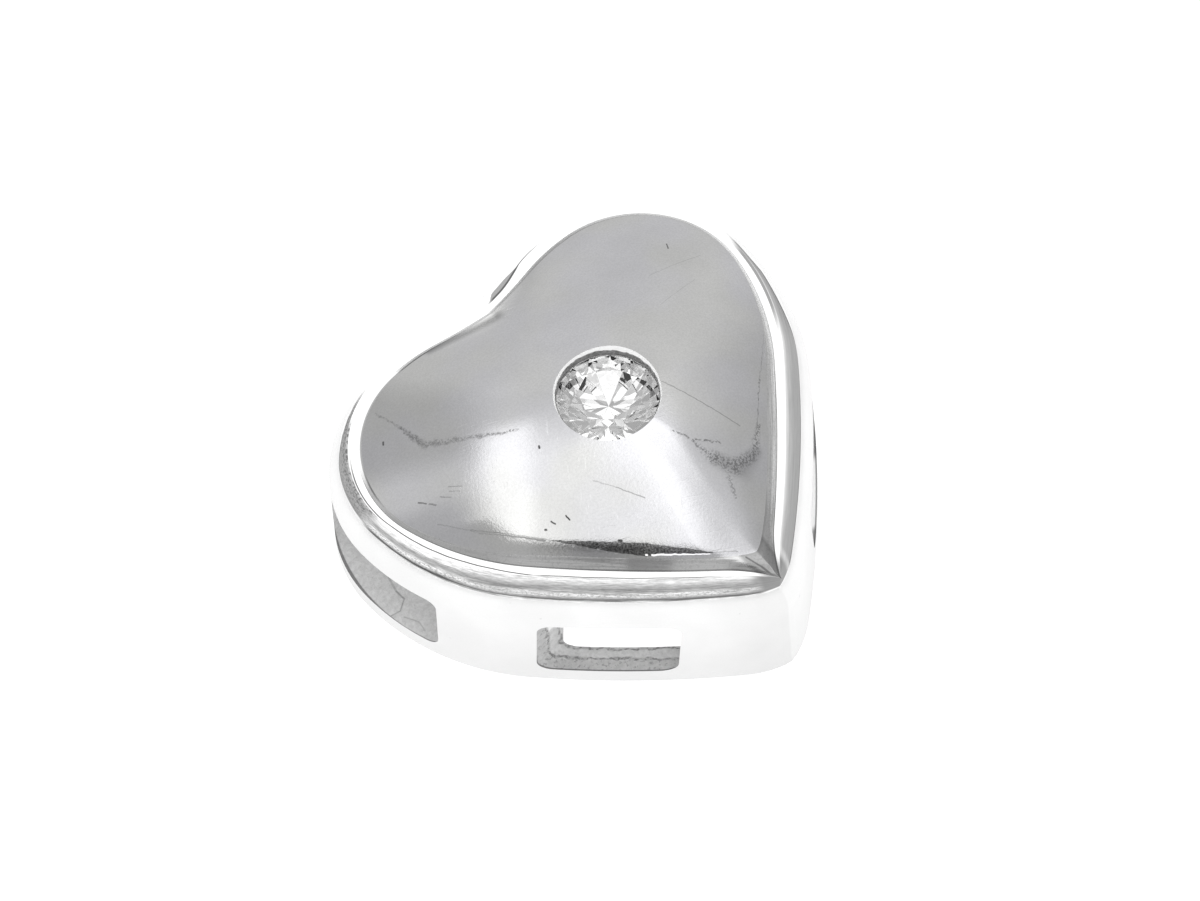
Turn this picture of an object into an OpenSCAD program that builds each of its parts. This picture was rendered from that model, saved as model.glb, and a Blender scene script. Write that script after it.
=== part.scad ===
// Heart slide pendant, cast in silver and set with one round stone.
// It lies on its open back, dome up and tip towards -Y. Two pairs of slots in the
// side wall let a strap pass crosswise through the hollow heart.

/* [Heart] */
// Overall width across the lobes, over the side wall
heart_w = 14.9; // [12:0.1:18]
// Height of the flat ledge round the foot of the dome
ledge_z = 4.5; // [4.4:0.05:5]
// Rise of the dome above the ledge
dome_h = 1.75; // [1.6:0.05:2]
// Width of the bevel that runs round the dome's edge, on the flanks
edge_w = 0.34; // [0.1:0.02:0.4]
// Height of that bevel
edge_h = 0.26; // [0.1:0.02:0.5]
// Size of the bevel on the lobes, as a share of its size on the flanks
edge_lobe_part = 0.35; // [0.2:0.05:1]
// Drop of the rounded moulding from the ledge to its foot
moulding_h = 0.6; // [0.4:0.05:0.7]
// Share of the step between dome and moulding foot that is ledge, on the flanks
ledge_share_flank = 0.35; // [0.25:0.05:0.5]
// The same share on the lobes
ledge_share_lobe = 0.55; // [0.4:0.05:0.65]

/* [Side wall] */
// How far the top of the side wall stands outside the moulding's foot
wall_out = 0.36; // [0.3:0.02:0.5]
// Drop over which the shoulder rounds from the moulding's foot into the wall
shoulder_h = 0.85; // [0.6:0.05:1]
// Flare of the wall from the shoulder down to the resting rim
wall_flare = 0.18; // [0:0.02:0.24]
// Rounding of the wall's outer lower edge
rim_round = 0.22; // [0.1:0.02:0.3]
// Thickness of the side wall on the flanks
wall_t = 0.75; // [0.65:0.05:0.8]
// How much thicker the wall is on the lobes
wall_lobe_extra = 0.35; // [0:0.05:0.4]

/* [Strap slots] */
// Underside of the slots above the resting rim
slot_z = 0.7; // [0.5:0.05:0.9]
// Height of the slots
slot_h = 2.35; // [1.8:0.05:2.4]
// Width of the strap channel across the lobes
lobe_slot_w = 4.6; // [3.5:0.1:4.8]
// Edge of the lobe channel nearest the tip, measured from the stone
lobe_slot_y = -0.2; // [-0.4:0.05:0]
// Width of the strap channel across the flanks
flank_slot_w = 2.8; // [2:0.05:3]
// Edge of the flank channel nearest the tip, measured from the stone
flank_slot_y = -5.45; // [-5.6:0.05:-5.3]
// Corner radius of the slots
slot_corner = 0.35; // [0.1:0.05:0.5]

/* [Stone] */
// Diameter of the stone across its girdle
stone_d = 2.9; // [2.5:0.05:3]
// Depth of the girdle below the crown of the dome
girdle_drop = 0.6; // [0.55:0.01:0.65]
// Thickness of the girdle
girdle_t = 0.06; // [0.04:0.01:0.1]
// Table diameter as a share of the stone's diameter
table_share = 0.57; // [0.5:0.01:0.6]
// Crown height as a share of the stone's diameter
crown_share = 0.15; // [0.12:0.01:0.17]
// Pavilion depth as a share of the stone's diameter
pavilion_share = 0.43; // [0.4:0.01:0.44]
// Clearance between the stone and its seat
stone_gap = 0.05; // [0.03:0.01:0.08]

/* [Hidden] */

silver = [0.78, 0.78, 0.80];
clear_stone = [0.93, 0.96, 1.0];
round_fn = 96;
over = 1;

// Each half outline is a walk of tangent arcs up the +X side, from the tip to the
// cleft. The first row holds the tip's Y and the first heading. Each other row is
// [length of the arc, its turn to the left in degrees]. The last arc closes on X = 0,
// so its length is worked out. The rows are: tip, flank, lower lobe, lobe, crest, cleft.
dome_walk = [[-6.8, 62], [1.7, -20], [5.2, 7], [3.6, 28], [5.6, 98], [1.7, 17], [0, -6]];
moulding_walk = [[-6.7, 16], [1, 22], [6, 11], [4.9, 42], [4.7, 76], [2.7, 22], [0, 0]];
core_walk = [[-6.0, 0], [1.6, 43], [4.9, 6], [3.6, 33], [5.2, 92], [1.8, 6], [0, 0]];
arc_steps = [5, 8, 7, 12, 4, 4];

// Dome: its edge lies a little inside the walk; a slightly rounded bevel, then a cap whose rings run from the bevel to the
// centre, each at a share of the cap's full radius
dome_inset = 0.03;
bevel_steps = 4;
bevel_power = 1.1;
cap_shares = [0.96, 0.91, 0.85, 0.78, 0.7, 0.61, 0.52, 0.42, 0.3, 0.15];
core_power = 4;

// Roof of the hollow: it follows the dome at a smaller size
roof_z = ledge_z - 1.05;
roof_h = 1.5;
roof_power = 2.2;
roof_fullness = 0.75;
roof_shares = [0.98, 0.94, 0.86, 0.75, 0.6, 0.4, 0.15];
// Height at which the hollow's wall starts to lean in, just above the slots
roof_start_z = slot_z + slot_h + 0.02;

moulding_steps = 5;
shoulder_steps = 6;
rim_steps = 3;

// Seat of the stone
crown_z = ledge_z + dome_h;
girdle_z = crown_z - girdle_drop;
seat_r = stone_d / 2 + stone_gap;
lip_r = stone_d / 2 - 0.03;
lip_foot_z = girdle_z + girdle_t + 0.03;
lip_z = lip_foot_z + 0.07;
bright_cut_r = stone_d / 2 + 0.04;
bright_cut_z = crown_z - 0.17;
bright_cut_h = 0.12;
bright_cut_flare = 0.1;
culet_hole_r = 0.9;

function point_of(p, h, run, turn, t) =
    turn == 0 ? p + run * t * [cos(h), sin(h)]
    : let (r = run / (turn * PI / 180))
      p + r * [sin(h + turn * t) - sin(h), cos(h) - cos(h + turn * t)];

// Length of the arc that brings a point at distance x back to the axis
function closing_run(x, h, turn) =
    turn == 0 ? -x / cos(h)
    : -x * turn * PI / 180 / (sin(h + turn) - sin(h));

// Points of a half outline, each [x, y, heading], tip first
function walk(rows, i = 1, p = undef, h = undef) =
    let (p0 = p == undef ? [0, rows[0][0]] : p,
         h0 = h == undef ? rows[0][1] : h,
         last = i == len(rows) - 1,
         turn = rows[i][1],
         run = last ? closing_run(p0.x, h0, turn) : rows[i][0],
         n = arc_steps[i - 1],
         here = [for (j = [0 : n - (last ? 0 : 1)])
             let (q = point_of(p0, h0, run, turn, j / n)) [q.x, q.y, h0 + turn * j / n]])
    last ? here
    : concat(here, walk(rows, i + 1, point_of(p0, h0, run, turn, 1), h0 + turn));

dome_half = walk(dome_walk);
moulding_half = walk(moulding_walk);
core_half = walk(core_walk);
steps = len(dome_half) - 1;

drawn_half_w = max([for (q = moulding_half) q.x]);
plan = (heart_w / 2 - wall_out - wall_flare) / drawn_half_w;

// Half outline moved outwards by d, still closed on the axis at tip and cleft
function moved(half, d) = [for (i = [0 : steps])
    let (q = half[i], turn_in = half[steps][2] - 180)
    i == 0 ? [0, plan * q.y - d]
    : i == steps ? [0, plan * q.y + d / cos(turn_in)]
    : [plan * q.x + d * sin(q[2]), plan * q.y - d * cos(q[2])]];

function blend(a, b, t) = [for (i = [0 : steps]) a[i] * (1 - t[i]) + b[i] * t[i]];
function same(t) = [for (i = [0 : steps]) t];

// Whole ring of 3D points from a half outline and a height for each point
function uneven_ring(half, z) = concat(
    [for (i = [0 : steps]) [half[i].x, half[i].y, z[i]]],
    [for (i = [steps - 1 : -1 : 1]) [-half[i].x, half[i].y, z[i]]]);
function ring(half, z) = uneven_ring(half, same(z));

dome_edge = moved(dome_half, -dome_inset);
moulding_foot = moved(moulding_half, 0);
core = moved(core_half, 0);

// Smooth change from a value on the flanks to a value on the lobes, along Y
flank_end_y = -3;
lobe_start_y = 2;
function towards_lobes(y, flank, lobe) =
    let (t = min(1, max(0, (y - flank_end_y) / (lobe_start_y - flank_end_y))))
    flank + (lobe - flank) * t * t * (3 - 2 * t);

// The ledge takes more of the step on the lobes than on the flanks
ledge_edge = blend(dome_edge, moulding_foot,
    [for (q = dome_edge) towards_lobes(q.y, ledge_share_flank, ledge_share_lobe)]);

// Size of the bevel at each point as a share of its full size, and the share of the
// dome's full radius at which it meets the cap
bevel_part = [for (q = dome_edge) towards_lobes(q.y, 1, edge_lobe_part)];
bevel_start = [for (i = [0 : steps]) let (q = dome_half[i])
    1 - edge_w * bevel_part[i] / (plan * (q.x * sin(q[2]) - q.y * cos(q[2])) - dome_inset)];
function dome_ring(shares, z) = uneven_ring([for (i = [0 : steps])
    let (s = shares[i], t = pow(s, core_power))
    s * (core[i] * (1 - t) + dome_edge[i] * t)], z);
function roof_rise(s) = pow(1 - pow(s, roof_power), roof_fullness);

// Side wall: rounded lower edge, straight flare, shoulder like a quarter of an ellipse
shoulder_foot_z = ledge_z - moulding_h - shoulder_h;
function wall_d(z) =
    wall_out + wall_flare * (shoulder_foot_z - z) / shoulder_foot_z;
rim_rings = [for (j = [0 : rim_steps])
    let (a = 90 * j / rim_steps, z = rim_round * (1 - cos(a)))
    ring(moved(moulding_half, wall_d(z) - rim_round * (1 - sin(a))), z)];
shoulder_rings = [for (j = [0 : shoulder_steps - 1])
    let (a = 90 * j / shoulder_steps)
    ring(moved(moulding_half, wall_out * cos(a)), shoulder_foot_z + shoulder_h * sin(a))];
foot_ring = [ring(moulding_foot, ledge_z - moulding_h)];

// Moulding: a quarter round from its foot up to the edge of the ledge
moulding_rings = [for (j = [1 : moulding_steps])
    let (a = 90 * j / moulding_steps)
    ring(blend(moulding_foot, ledge_edge, same(1 - cos(a))),
         ledge_z - moulding_h * (1 - sin(a)))];
bevel_rings = [for (j = [0 : bevel_steps])
    let (t = j / bevel_steps)
    dome_ring([for (b = bevel_start) 1 - t * (1 - b)],
              [for (part = bevel_part) ledge_z + edge_h * part * (1 - pow(1 - t, bevel_power))])];
cap_rings = [for (u = cap_shares)
    dome_ring(u * bevel_start,
              [for (part = bevel_part)
                  ledge_z + edge_h * part + (dome_h - edge_h * part) * (1 - u * u)])];

outer_rings = concat(rim_rings, shoulder_rings, foot_ring, moulding_rings, bevel_rings, cap_rings);

// The hollow's side follows the wall, further in on the lobes
function inner_half(z) = blend(
    moved(moulding_half, wall_d(z) - wall_t),
    moved(moulding_half, wall_d(z) - wall_t - wall_lobe_extra),
    [for (q = moulding_foot) towards_lobes(q.y, 0, 1)]);
hollow_rings = concat(
    [for (z = [-over, roof_start_z]) ring(inner_half(z), z)],
    [for (s = roof_shares) ring([for (q = core) s * q], roof_z + roof_h * roof_rise(s))]);

// Closed skin through rings of equal length, lowest first
module skin(rings) {
    n = len(rings[0]);
    m = len(rings);
    points = [for (r = rings) for (q = r) q];
    sides = [for (k = [0 : m - 2]) for (i = [0 : n - 1])
        let (a = k * n + i, b = k * n + (i + 1) % n)
        each [[a, a + n, b], [b, a + n, b + n]]];
    low = [[for (i = [0 : n - 1]) i]];
    high = [[for (i = [n - 1 : -1 : 0]) (m - 1) * n + i]];
    polyhedron(points, concat(sides, low, high), convexity = 8);
}

// Rectangle with round corners, its lower left corner at the origin
module rounded_rectangle(w, h, r) {
    translate([r, 0]) square([w - 2 * r, h]);
    translate([0, r]) square([w, h - 2 * r]);
    for (x = [r, w - r], y = [r, h - r])
        translate([x, y]) circle(r, $fn = 32);
}

// Straight channel along X through both sides of the heart
module strap_channel(y, w) {
    reach = heart_w / 2 + over;
    translate([-reach, y, slot_z])
        rotate([90, 0, 90])
            linear_extrude(2 * reach) rounded_rectangle(w, slot_h, slot_corner);
}

// Round seat: a hole for the pavilion, a cone under the girdle, a lip over it and
// a bright-cut edge at the dome
module stone_seat() {
    slope = 2 * pavilion_share;
    hole_z = girdle_z - (seat_r - culet_hole_r) * slope;
    top_z = crown_z + over;
    rotate_extrude($fn = round_fn)
        polygon([
            [0, roof_z], [culet_hole_r, roof_z], [culet_hole_r, hole_z],
            [seat_r, girdle_z], [seat_r, lip_foot_z], [lip_r, lip_z],
            [lip_r, bright_cut_z - bright_cut_h], [bright_cut_r, bright_cut_z],
            [bright_cut_r + bright_cut_flare, top_z], [0, top_z]]);
}

// Middle of the plan along Y, so that the finished heart is centred on the origin
widest_ring_y = [for (q = rim_rings[rim_steps]) q.y];
middle_y = (min(widest_ring_y) + max(widest_ring_y)) / 2;

module heart_body() {
    color(silver)
        translate([0, -middle_y, 0])
            difference() {
                skin(outer_rings);
                skin(hollow_rings);
                stone_seat();
                strap_channel(lobe_slot_y, lobe_slot_w);
                strap_channel(flank_slot_y, flank_slot_w);
            }
}

// Round brilliant: its corners lie where the planes of its main facets meet, so that
// every kite is flat
module stone() {
    r = stone_d / 2;
    table_r = r * table_share;
    crown = stone_d * crown_share;
    pavilion = stone_d * pavilion_share;
    star_r = r * 0.8;
    lower_r = r * 0.24;
    half_step = 22.5;
    top = girdle_t + crown;
    star_z = girdle_t + crown * (r - star_r * cos(half_step)) / (r - table_r);
    lower_z = -pavilion * (r - lower_r * cos(half_step)) / r;
    points = concat(
        [for (k = [0 : 7]) [table_r * cos(45 * k), table_r * sin(45 * k), top]],
        [for (k = [0 : 7]) let (a = 45 * k + half_step) [star_r * cos(a), star_r * sin(a), star_z]],
        [for (k = [0 : 15], z = [0, girdle_t])
            [r * cos(half_step * k), r * sin(half_step * k), z]],
        [for (k = [0 : 7]) let (a = 45 * k + half_step)
            [lower_r * cos(a), lower_r * sin(a), lower_z]],
        [[0, 0, -pavilion]]);
    color(clear_stone)
        translate([0, -middle_y, girdle_z + stone_gap / 2])
            hull() polyhedron(points, [[for (i = [0 : len(points) - 1]) i]]);
}

heart_body();
stone();
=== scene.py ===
from math import cos, dist, exp, hypot, radians, sin, tan

import bmesh
import bpy
from mathutils import Matrix, Vector


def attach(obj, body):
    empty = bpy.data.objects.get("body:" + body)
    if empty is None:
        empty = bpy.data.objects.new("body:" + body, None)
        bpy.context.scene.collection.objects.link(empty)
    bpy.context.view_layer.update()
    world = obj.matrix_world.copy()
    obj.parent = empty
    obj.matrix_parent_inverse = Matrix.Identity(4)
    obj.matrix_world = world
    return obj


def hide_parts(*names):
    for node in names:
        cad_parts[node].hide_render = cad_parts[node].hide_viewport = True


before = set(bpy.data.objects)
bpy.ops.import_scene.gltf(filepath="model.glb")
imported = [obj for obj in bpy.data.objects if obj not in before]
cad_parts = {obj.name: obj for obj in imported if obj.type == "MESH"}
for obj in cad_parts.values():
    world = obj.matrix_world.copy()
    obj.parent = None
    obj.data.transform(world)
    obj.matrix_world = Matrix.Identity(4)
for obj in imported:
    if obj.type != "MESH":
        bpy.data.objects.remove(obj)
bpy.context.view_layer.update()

MM = 0.001

# Named sizes of the heart, in millimetres, the same as in the part's source
HEART_W = 14.9
LEDGE_Z = 4.5
DOME_H = 1.75
DOME_INSET = 0.03
EDGE_W, EDGE_H, EDGE_LOBE_PART = 0.34, 0.26, 0.35
MOULDING_H = 0.6
LEDGE_SHARE_FLANK, LEDGE_SHARE_LOBE = 0.35, 0.55
FLANK_END_Y, LOBE_START_Y = -3, 2
WALL_OUT = 0.36
SHOULDER_H = 0.85
WALL_FLARE = 0.18
RIM_ROUND = 0.22
WALL_T, WALL_LOBE_EXTRA = 0.75, 0.35
SLOT_Z, SLOT_H, SLOT_CORNER = 0.7, 2.35, 0.35
LOBE_SLOT_Y, LOBE_SLOT_W = -0.2, 4.6
FLANK_SLOT_Y, FLANK_SLOT_W = -5.45, 2.8
STONE_D = 2.9
GIRDLE_T, GIRDLE_DROP = 0.06, 0.6
PAVILION_SHARE = 0.43
STONE_GAP = 0.05
BEVEL_POWER, CORE_POWER = 1.1, 4
ROOF_POWER, ROOF_FULLNESS = 2.2, 0.75
ROOF_Z, ROOF_H = LEDGE_Z - 1.05, 1.5
ROOF_START_Z = SLOT_Z + SLOT_H + 0.02
SHOULDER_FOOT_Z = LEDGE_Z - MOULDING_H - SHOULDER_H
CROWN_Z = LEDGE_Z + DOME_H
GIRDLE_Z = CROWN_Z - GIRDLE_DROP
SEAT_R = STONE_D / 2 + STONE_GAP
LIP_R = STONE_D / 2 - 0.03
LIP_FOOT_Z = GIRDLE_Z + GIRDLE_T + 0.03
LIP_Z = LIP_FOOT_Z + 0.07
BRIGHT_CUT_R = STONE_D / 2 + 0.04
BRIGHT_CUT_Z, BRIGHT_CUT_H, BRIGHT_CUT_FLARE = CROWN_Z - 0.17, 0.12, 0.1
CULET_HOLE_R = 0.9

# Walks of tangent arcs from the tip to the cleft: tip Y and first heading, then
# the length of each arc and its turn to the left in degrees
DOME_WALK = [(-6.8, 62), (1.7, -20), (5.2, 7), (3.6, 28), (5.6, 98), (1.7, 17), (0, -6)]
MOULDING_WALK = [(-6.7, 16), (1, 22), (6, 11), (4.9, 42), (4.7, 76), (2.7, 22), (0, 0)]
CORE_WALK = [(-6.0, 0), (1.6, 43), (4.9, 6), (3.6, 33), (5.2, 92), (1.8, 6), (0, 0)]
ARC_STEPS = [20, 32, 28, 48, 16, 16]
STEPS = sum(ARC_STEPS)
COLUMNS = 2 * STEPS

# How finely the skin is divided, band by band
RIM_STEPS, WALL_STEPS, SHOULDER_STEPS, MOULDING_STEPS = 5, 9, 12, 10
BEVEL_STEPS, CAP_STEPS, ROOF_STEPS, HOLLOW_STEPS = 6, 28, 10, 6
SLOT_CORNER_STEPS = 8
# Powers that crowd the rings towards the cap's edge and towards the hollow's wall
CAP_CROWDING, ROOF_CROWDING = 1.2, 1.5
ROOF_END_SHARE = 0.98
# Columns next to the cleft that stay this far apart where the outline crosses itself
CLEFT_COLUMNS, CLEFT_SPACING = 12, 0.004
# What keeps the rings of the bright cut and its lip apart: its least width, and two
# steps down
LEAST_CUT, CUT_STEP_DOWN, LIP_STEP_DOWN = 0.01, 0.003, 0.02
SOLVER_ROUNDS = 6
# Edges that turn by more than this stay sharp
SHARP_TURN = radians(32)
# Points closer than this become one, in metres
WELD = 1e-7

# The cap's fold towards the tip: columns that are rounded, how far round itself each
# one is averaged, and the share of the radius from which the rounding fades
FOLD_COLUMNS, FOLD_REACH, LEAST_FOLD_REACH, FOLD_WINDOW = 24, 6, 0.3, 18
FOLD_FADE_START, FOLD_FADE = 0.62, 0.26


def eased(t):
    """Smooth step from 0 to 1 while t goes from 0 to 1."""
    t = min(1, max(0, t))
    return t * t * (3 - 2 * t)


def walk(rows):
    """Points of a half outline, each (x, y, heading in degrees), tip first."""
    x, y, heading = 0.0, rows[0][0], rows[0][1]
    points = []
    for count, (run, turn) in zip(ARC_STEPS, rows[1:]):
        last = len(points) + count == STEPS
        if last:
            run = (-x / cos(radians(heading)) if turn == 0 else
                   -x * radians(turn) / (sin(radians(heading + turn)) - sin(radians(heading))))
        for j in range(count + 1):
            t = j / count
            now = heading + turn * t
            if turn == 0:
                place = (x + run * t * cos(radians(heading)), y + run * t * sin(radians(heading)))
            else:
                r = run / radians(turn)
                place = (x + r * (sin(radians(now)) - sin(radians(heading))),
                         y + r * (cos(radians(heading)) - cos(radians(now))))
            if j < count or last:
                points.append((*place, now))
        x, y = place
        heading += turn
    return points


DOME_HALF, MOULDING_HALF, CORE_HALF = walk(DOME_WALK), walk(MOULDING_WALK), walk(CORE_WALK)
PLAN = (HEART_W / 2 - WALL_OUT - WALL_FLARE) / max(q[0] for q in MOULDING_HALF)


def moved(half, d):
    """Half outline moved outwards by d, still closed on the axis at tip and cleft."""
    turn_in = radians(half[STEPS][2] - 180)
    cleft_y = PLAN * half[STEPS][1] + d / cos(turn_in)
    points = []
    for i, (x, y, heading) in enumerate(half):
        if i == 0:
            points.append((0.0, PLAN * y - d))
        elif i == STEPS:
            points.append((0.0, cleft_y))
        else:
            h = radians(heading)
            px, py = PLAN * x + d * sin(h), PLAN * y - d * cos(h)
            least = CLEFT_SPACING * (STEPS - i)
            crossed = i > STEPS - CLEFT_COLUMNS and px < least
            points.append((least, cleft_y + least * tan(turn_in)) if crossed else (px, py))
    return points


def blend(a, b, share):
    """Half outline between two others, with one share for each column."""
    return [tuple(p * (1 - t) + q * t for p, q in zip(m, n)) for m, n, t in zip(a, b, share)]


def same(value):
    """One value for every column of a half outline."""
    return [value] * (STEPS + 1)


def whole(half, z):
    """Whole ring from a half outline; z is one height or one for each column."""
    heights = z if isinstance(z, list) else same(z)
    right = [(p[0], p[1], h) for p, h in zip(half, heights)]
    left = [(-p[0], p[1], h) for p, h in zip(half, heights)]
    return right + left[STEPS - 1:0:-1]


def towards_lobes(y, flank, lobe):
    """Smooth change from a value on the flanks to a value on the lobes, along y."""
    return flank + (lobe - flank) * eased((y - FLANK_END_Y) / (LOBE_START_Y - FLANK_END_Y))


def wall_d(z):
    """How far the wall's outer face stands out from the moulding's foot, at height z."""
    return WALL_OUT + WALL_FLARE * (SHOULDER_FOOT_Z - z) / SHOULDER_FOOT_Z


def roof_rise(s):
    """Share of the roof's full height at share s of the hollow's radius."""
    return (1 - min(1, s) ** ROOF_POWER) ** ROOF_FULLNESS


DOME_EDGE, CORE = moved(DOME_HALF, -DOME_INSET), moved(CORE_HALF, 0)
MOULDING_FOOT = moved(MOULDING_HALF, 0)
INNER_SHARE = [towards_lobes(p[1], 0, 1) for p in MOULDING_FOOT]
LEDGE_EDGE = blend(DOME_EDGE, MOULDING_FOOT,
                   [towards_lobes(p[1], LEDGE_SHARE_FLANK, LEDGE_SHARE_LOBE) for p in DOME_EDGE])
EDGE_PART = [towards_lobes(p[1], 1, EDGE_LOBE_PART) for p in DOME_EDGE]
WIDEST = moved(MOULDING_HALF, wall_d(RIM_ROUND))
MIDDLE_Y = (min(p[1] for p in WIDEST) + max(p[1] for p in WIDEST)) / 2
STONE_Y = -MIDDLE_Y


def inner_half(z):
    """Half outline of the hollow, further in on the lobes."""
    d = wall_d(z) - WALL_T
    return blend(moved(MOULDING_HALF, d), moved(MOULDING_HALF, d - WALL_LOBE_EXTRA), INNER_SHARE)


def bevel_start(i):
    """Share of the full radius at which the bevel meets the cap, in column i."""
    x, y, heading = DOME_HALF[i]
    h = radians(heading)
    return 1 - EDGE_W * EDGE_PART[i] / (PLAN * (x * sin(h) - y * cos(h)) - DOME_INSET)


def cap_z(i, s):
    """Height of the cap in column i at share s of the full radius."""
    u, low = s / bevel_start(i), EDGE_H * EDGE_PART[i]
    return LEDGE_Z + low + (DOME_H - low) * (1 - u * u)


def dome_point(i, s):
    """Place on the dome in column i at share s of the full radius."""
    t = s ** CORE_POWER
    x = s * (CORE[i][0] * (1 - t) + DOME_EDGE[i][0] * t)
    y = s * (CORE[i][1] * (1 - t) + DOME_EDGE[i][1] * t)
    return x, y


def share_at_radius(i, r):
    """Share at which column i of the dome is r away from the stone's axis."""
    s = r / hypot(*CORE[i])
    for again in range(SOLVER_ROUNDS):
        s *= r / hypot(*dome_point(i, s))
    return s


def cut_radius(i):
    """Radius at which the cone of the bright cut meets the cap, in column i."""
    r = BRIGHT_CUT_R
    for again in range(SOLVER_ROUNDS):
        above = cap_z(i, share_at_radius(i, r)) - BRIGHT_CUT_Z
        r = BRIGHT_CUT_R + (BRIGHT_CUT_FLARE * above / (CROWN_Z + 1 - BRIGHT_CUT_Z) if above > 0
                            else (BRIGHT_CUT_R - LIP_R) * above / BRIGHT_CUT_H)
        r = max(r, LIP_R + LEAST_CUT)
    return r


def circle_ring(r, z):
    """Ring round the stone's axis, each column in its own direction; r and z are one
    value each or one for each column."""
    radii = r if isinstance(r, list) else same(r)
    return whole([(r * x / hypot(x, y), r * y / hypot(x, y)) for r, (x, y) in zip(radii, CORE)], z)


def tip_fold_rounded(half, heights, s):
    """Ring of the cap with its fold towards the tip rounded, less so near the edge."""
    reach = FOLD_REACH * (1 - eased((s - FOLD_FADE_START) / FOLD_FADE))
    if reach < LEAST_FOLD_REACH:
        return whole(half, heights)
    steps = range(-FOLD_WINDOW, FOLD_WINDOW + 1)
    weights = [exp(-0.5 * (k / reach) ** 2) for k in steps]
    total = sum(weights)
    points, levels = list(half), list(heights)
    for i in range(FOLD_COLUMNS):
        share = 1 - i / FOLD_COLUMNS
        # Columns past the tip are the first ones again, mirrored
        near = [(weight, abs(i + k), -1 if i + k < 0 else 1) for weight, k in zip(weights, steps)]
        x = sum(weight * side * half[j][0] for weight, j, side in near) / total
        y = sum(weight * half[j][1] for weight, j, side in near) / total
        z = sum(weight * heights[j] for weight, j, side in near) / total
        points[i] = (half[i][0] * (1 - share) + x * share, half[i][1] * (1 - share) + y * share)
        levels[i] = heights[i] * (1 - share) + z * share
    return whole(points, levels)


# Finishes of the metal, in the order of the body's material slots
DOME, BEVEL, LEDGE, MOULDING, WALL, SLOT, INSIDE, SEAT = range(8)


def body_rings():
    """Rings of the heart's skin, from the rim's inner edge up the outside, over the
    dome, down through the stone's seat and back along the hollow, each with the
    finish of the band that leads to it."""
    rings = []

    def add(finish, ring):
        rings.append((finish, ring))

    add(INSIDE, whole(inner_half(0), 0.0))
    for j in range(RIM_STEPS + 1):
        a = radians(90 * j / RIM_STEPS)
        z = RIM_ROUND * (1 - cos(a))
        add(WALL, whole(moved(MOULDING_HALF, wall_d(z) - RIM_ROUND * (1 - sin(a))), z))
    for j in range(1, WALL_STEPS + 1):
        z = RIM_ROUND + (SHOULDER_FOOT_Z - RIM_ROUND) * j / WALL_STEPS
        add(WALL, whole(moved(MOULDING_HALF, wall_d(z)), z))
    for j in range(1, SHOULDER_STEPS + 1):
        a = radians(90 * j / SHOULDER_STEPS)
        add(WALL, whole(moved(MOULDING_HALF, WALL_OUT * cos(a)), SHOULDER_FOOT_Z + SHOULDER_H * sin(a)))
    for j in range(1, MOULDING_STEPS + 1):
        a = radians(90 * j / MOULDING_STEPS)
        add(MOULDING, whole(blend(MOULDING_FOOT, LEDGE_EDGE, same(1 - cos(a))),
                            LEDGE_Z - MOULDING_H * (1 - sin(a))))
    add(LEDGE, whole(blend(LEDGE_EDGE, DOME_EDGE, same(0.5)), LEDGE_Z))
    add(LEDGE, whole(DOME_EDGE, LEDGE_Z))
    half = range(STEPS + 1)
    starts = [bevel_start(i) for i in half]
    for j in range(1, BEVEL_STEPS + 1):
        t = j / BEVEL_STEPS
        add(BEVEL, whole([dome_point(i, 1 - t * (1 - starts[i])) for i in half],
                         [LEDGE_Z + EDGE_H * part * (1 - (1 - t) ** BEVEL_POWER) for part in EDGE_PART]))
    cut_r = [cut_radius(i) for i in half]
    ends = [share_at_radius(i, r) for i, r in enumerate(cut_r)]
    for j in range(1, CAP_STEPS + 1):
        part = (j / CAP_STEPS) ** CAP_CROWDING
        shares = [start + (end - start) * part for start, end in zip(starts, ends)]
        add(DOME, tip_fold_rounded([dome_point(i, s) for i, s in enumerate(shares)],
                                   [cap_z(i, s) for i, s in enumerate(shares)], shares[0]))
    cut = [min(BRIGHT_CUT_R, r) for r in cut_r]
    slope = BRIGHT_CUT_H / (BRIGHT_CUT_R - LIP_R)
    add(SEAT, circle_ring(cut, [BRIGHT_CUT_Z - slope * (BRIGHT_CUT_R - r) - CUT_STEP_DOWN for r in cut]))
    add(SEAT, circle_ring(LIP_R, [min(BRIGHT_CUT_Z - BRIGHT_CUT_H, cap_z(i, end) - LIP_STEP_DOWN)
                                  for i, end in enumerate(ends)]))
    hole_z = GIRDLE_Z - (SEAT_R - CULET_HOLE_R) * 2 * PAVILION_SHARE
    for r, z in ((LIP_R, LIP_Z), (SEAT_R, LIP_FOOT_Z), (SEAT_R, GIRDLE_Z), (CULET_HOLE_R, hole_z)):
        add(SEAT, circle_ring(r, z))
    roof_ends = [CULET_HOLE_R / hypot(*p) for p in CORE]
    for j in range(ROOF_STEPS + 1):
        part = 1 - (1 - j / ROOF_STEPS) ** ROOF_CROWDING
        shares = [end + (ROOF_END_SHARE - end) * part for end in roof_ends]
        add(SEAT if j == 0 else INSIDE,
            whole([(x * s, y * s) for (x, y), s in zip(CORE, shares)],
                  [ROOF_Z + ROOF_H * roof_rise(s) for s in shares]))
    for j in range(HOLLOW_STEPS + 1):
        z = ROOF_START_Z * (1 - j / HOLLOW_STEPS)
        add(INSIDE, whole(inner_half(z), z))
    return rings


def lengths(points):
    """Distance of each point of a line from its first, in millimetres."""
    found = [0.0]
    for p, q in zip(points, points[1:]):
        found.append(found[-1] + dist(p, q))
    return found


RINGS = body_rings()
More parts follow.
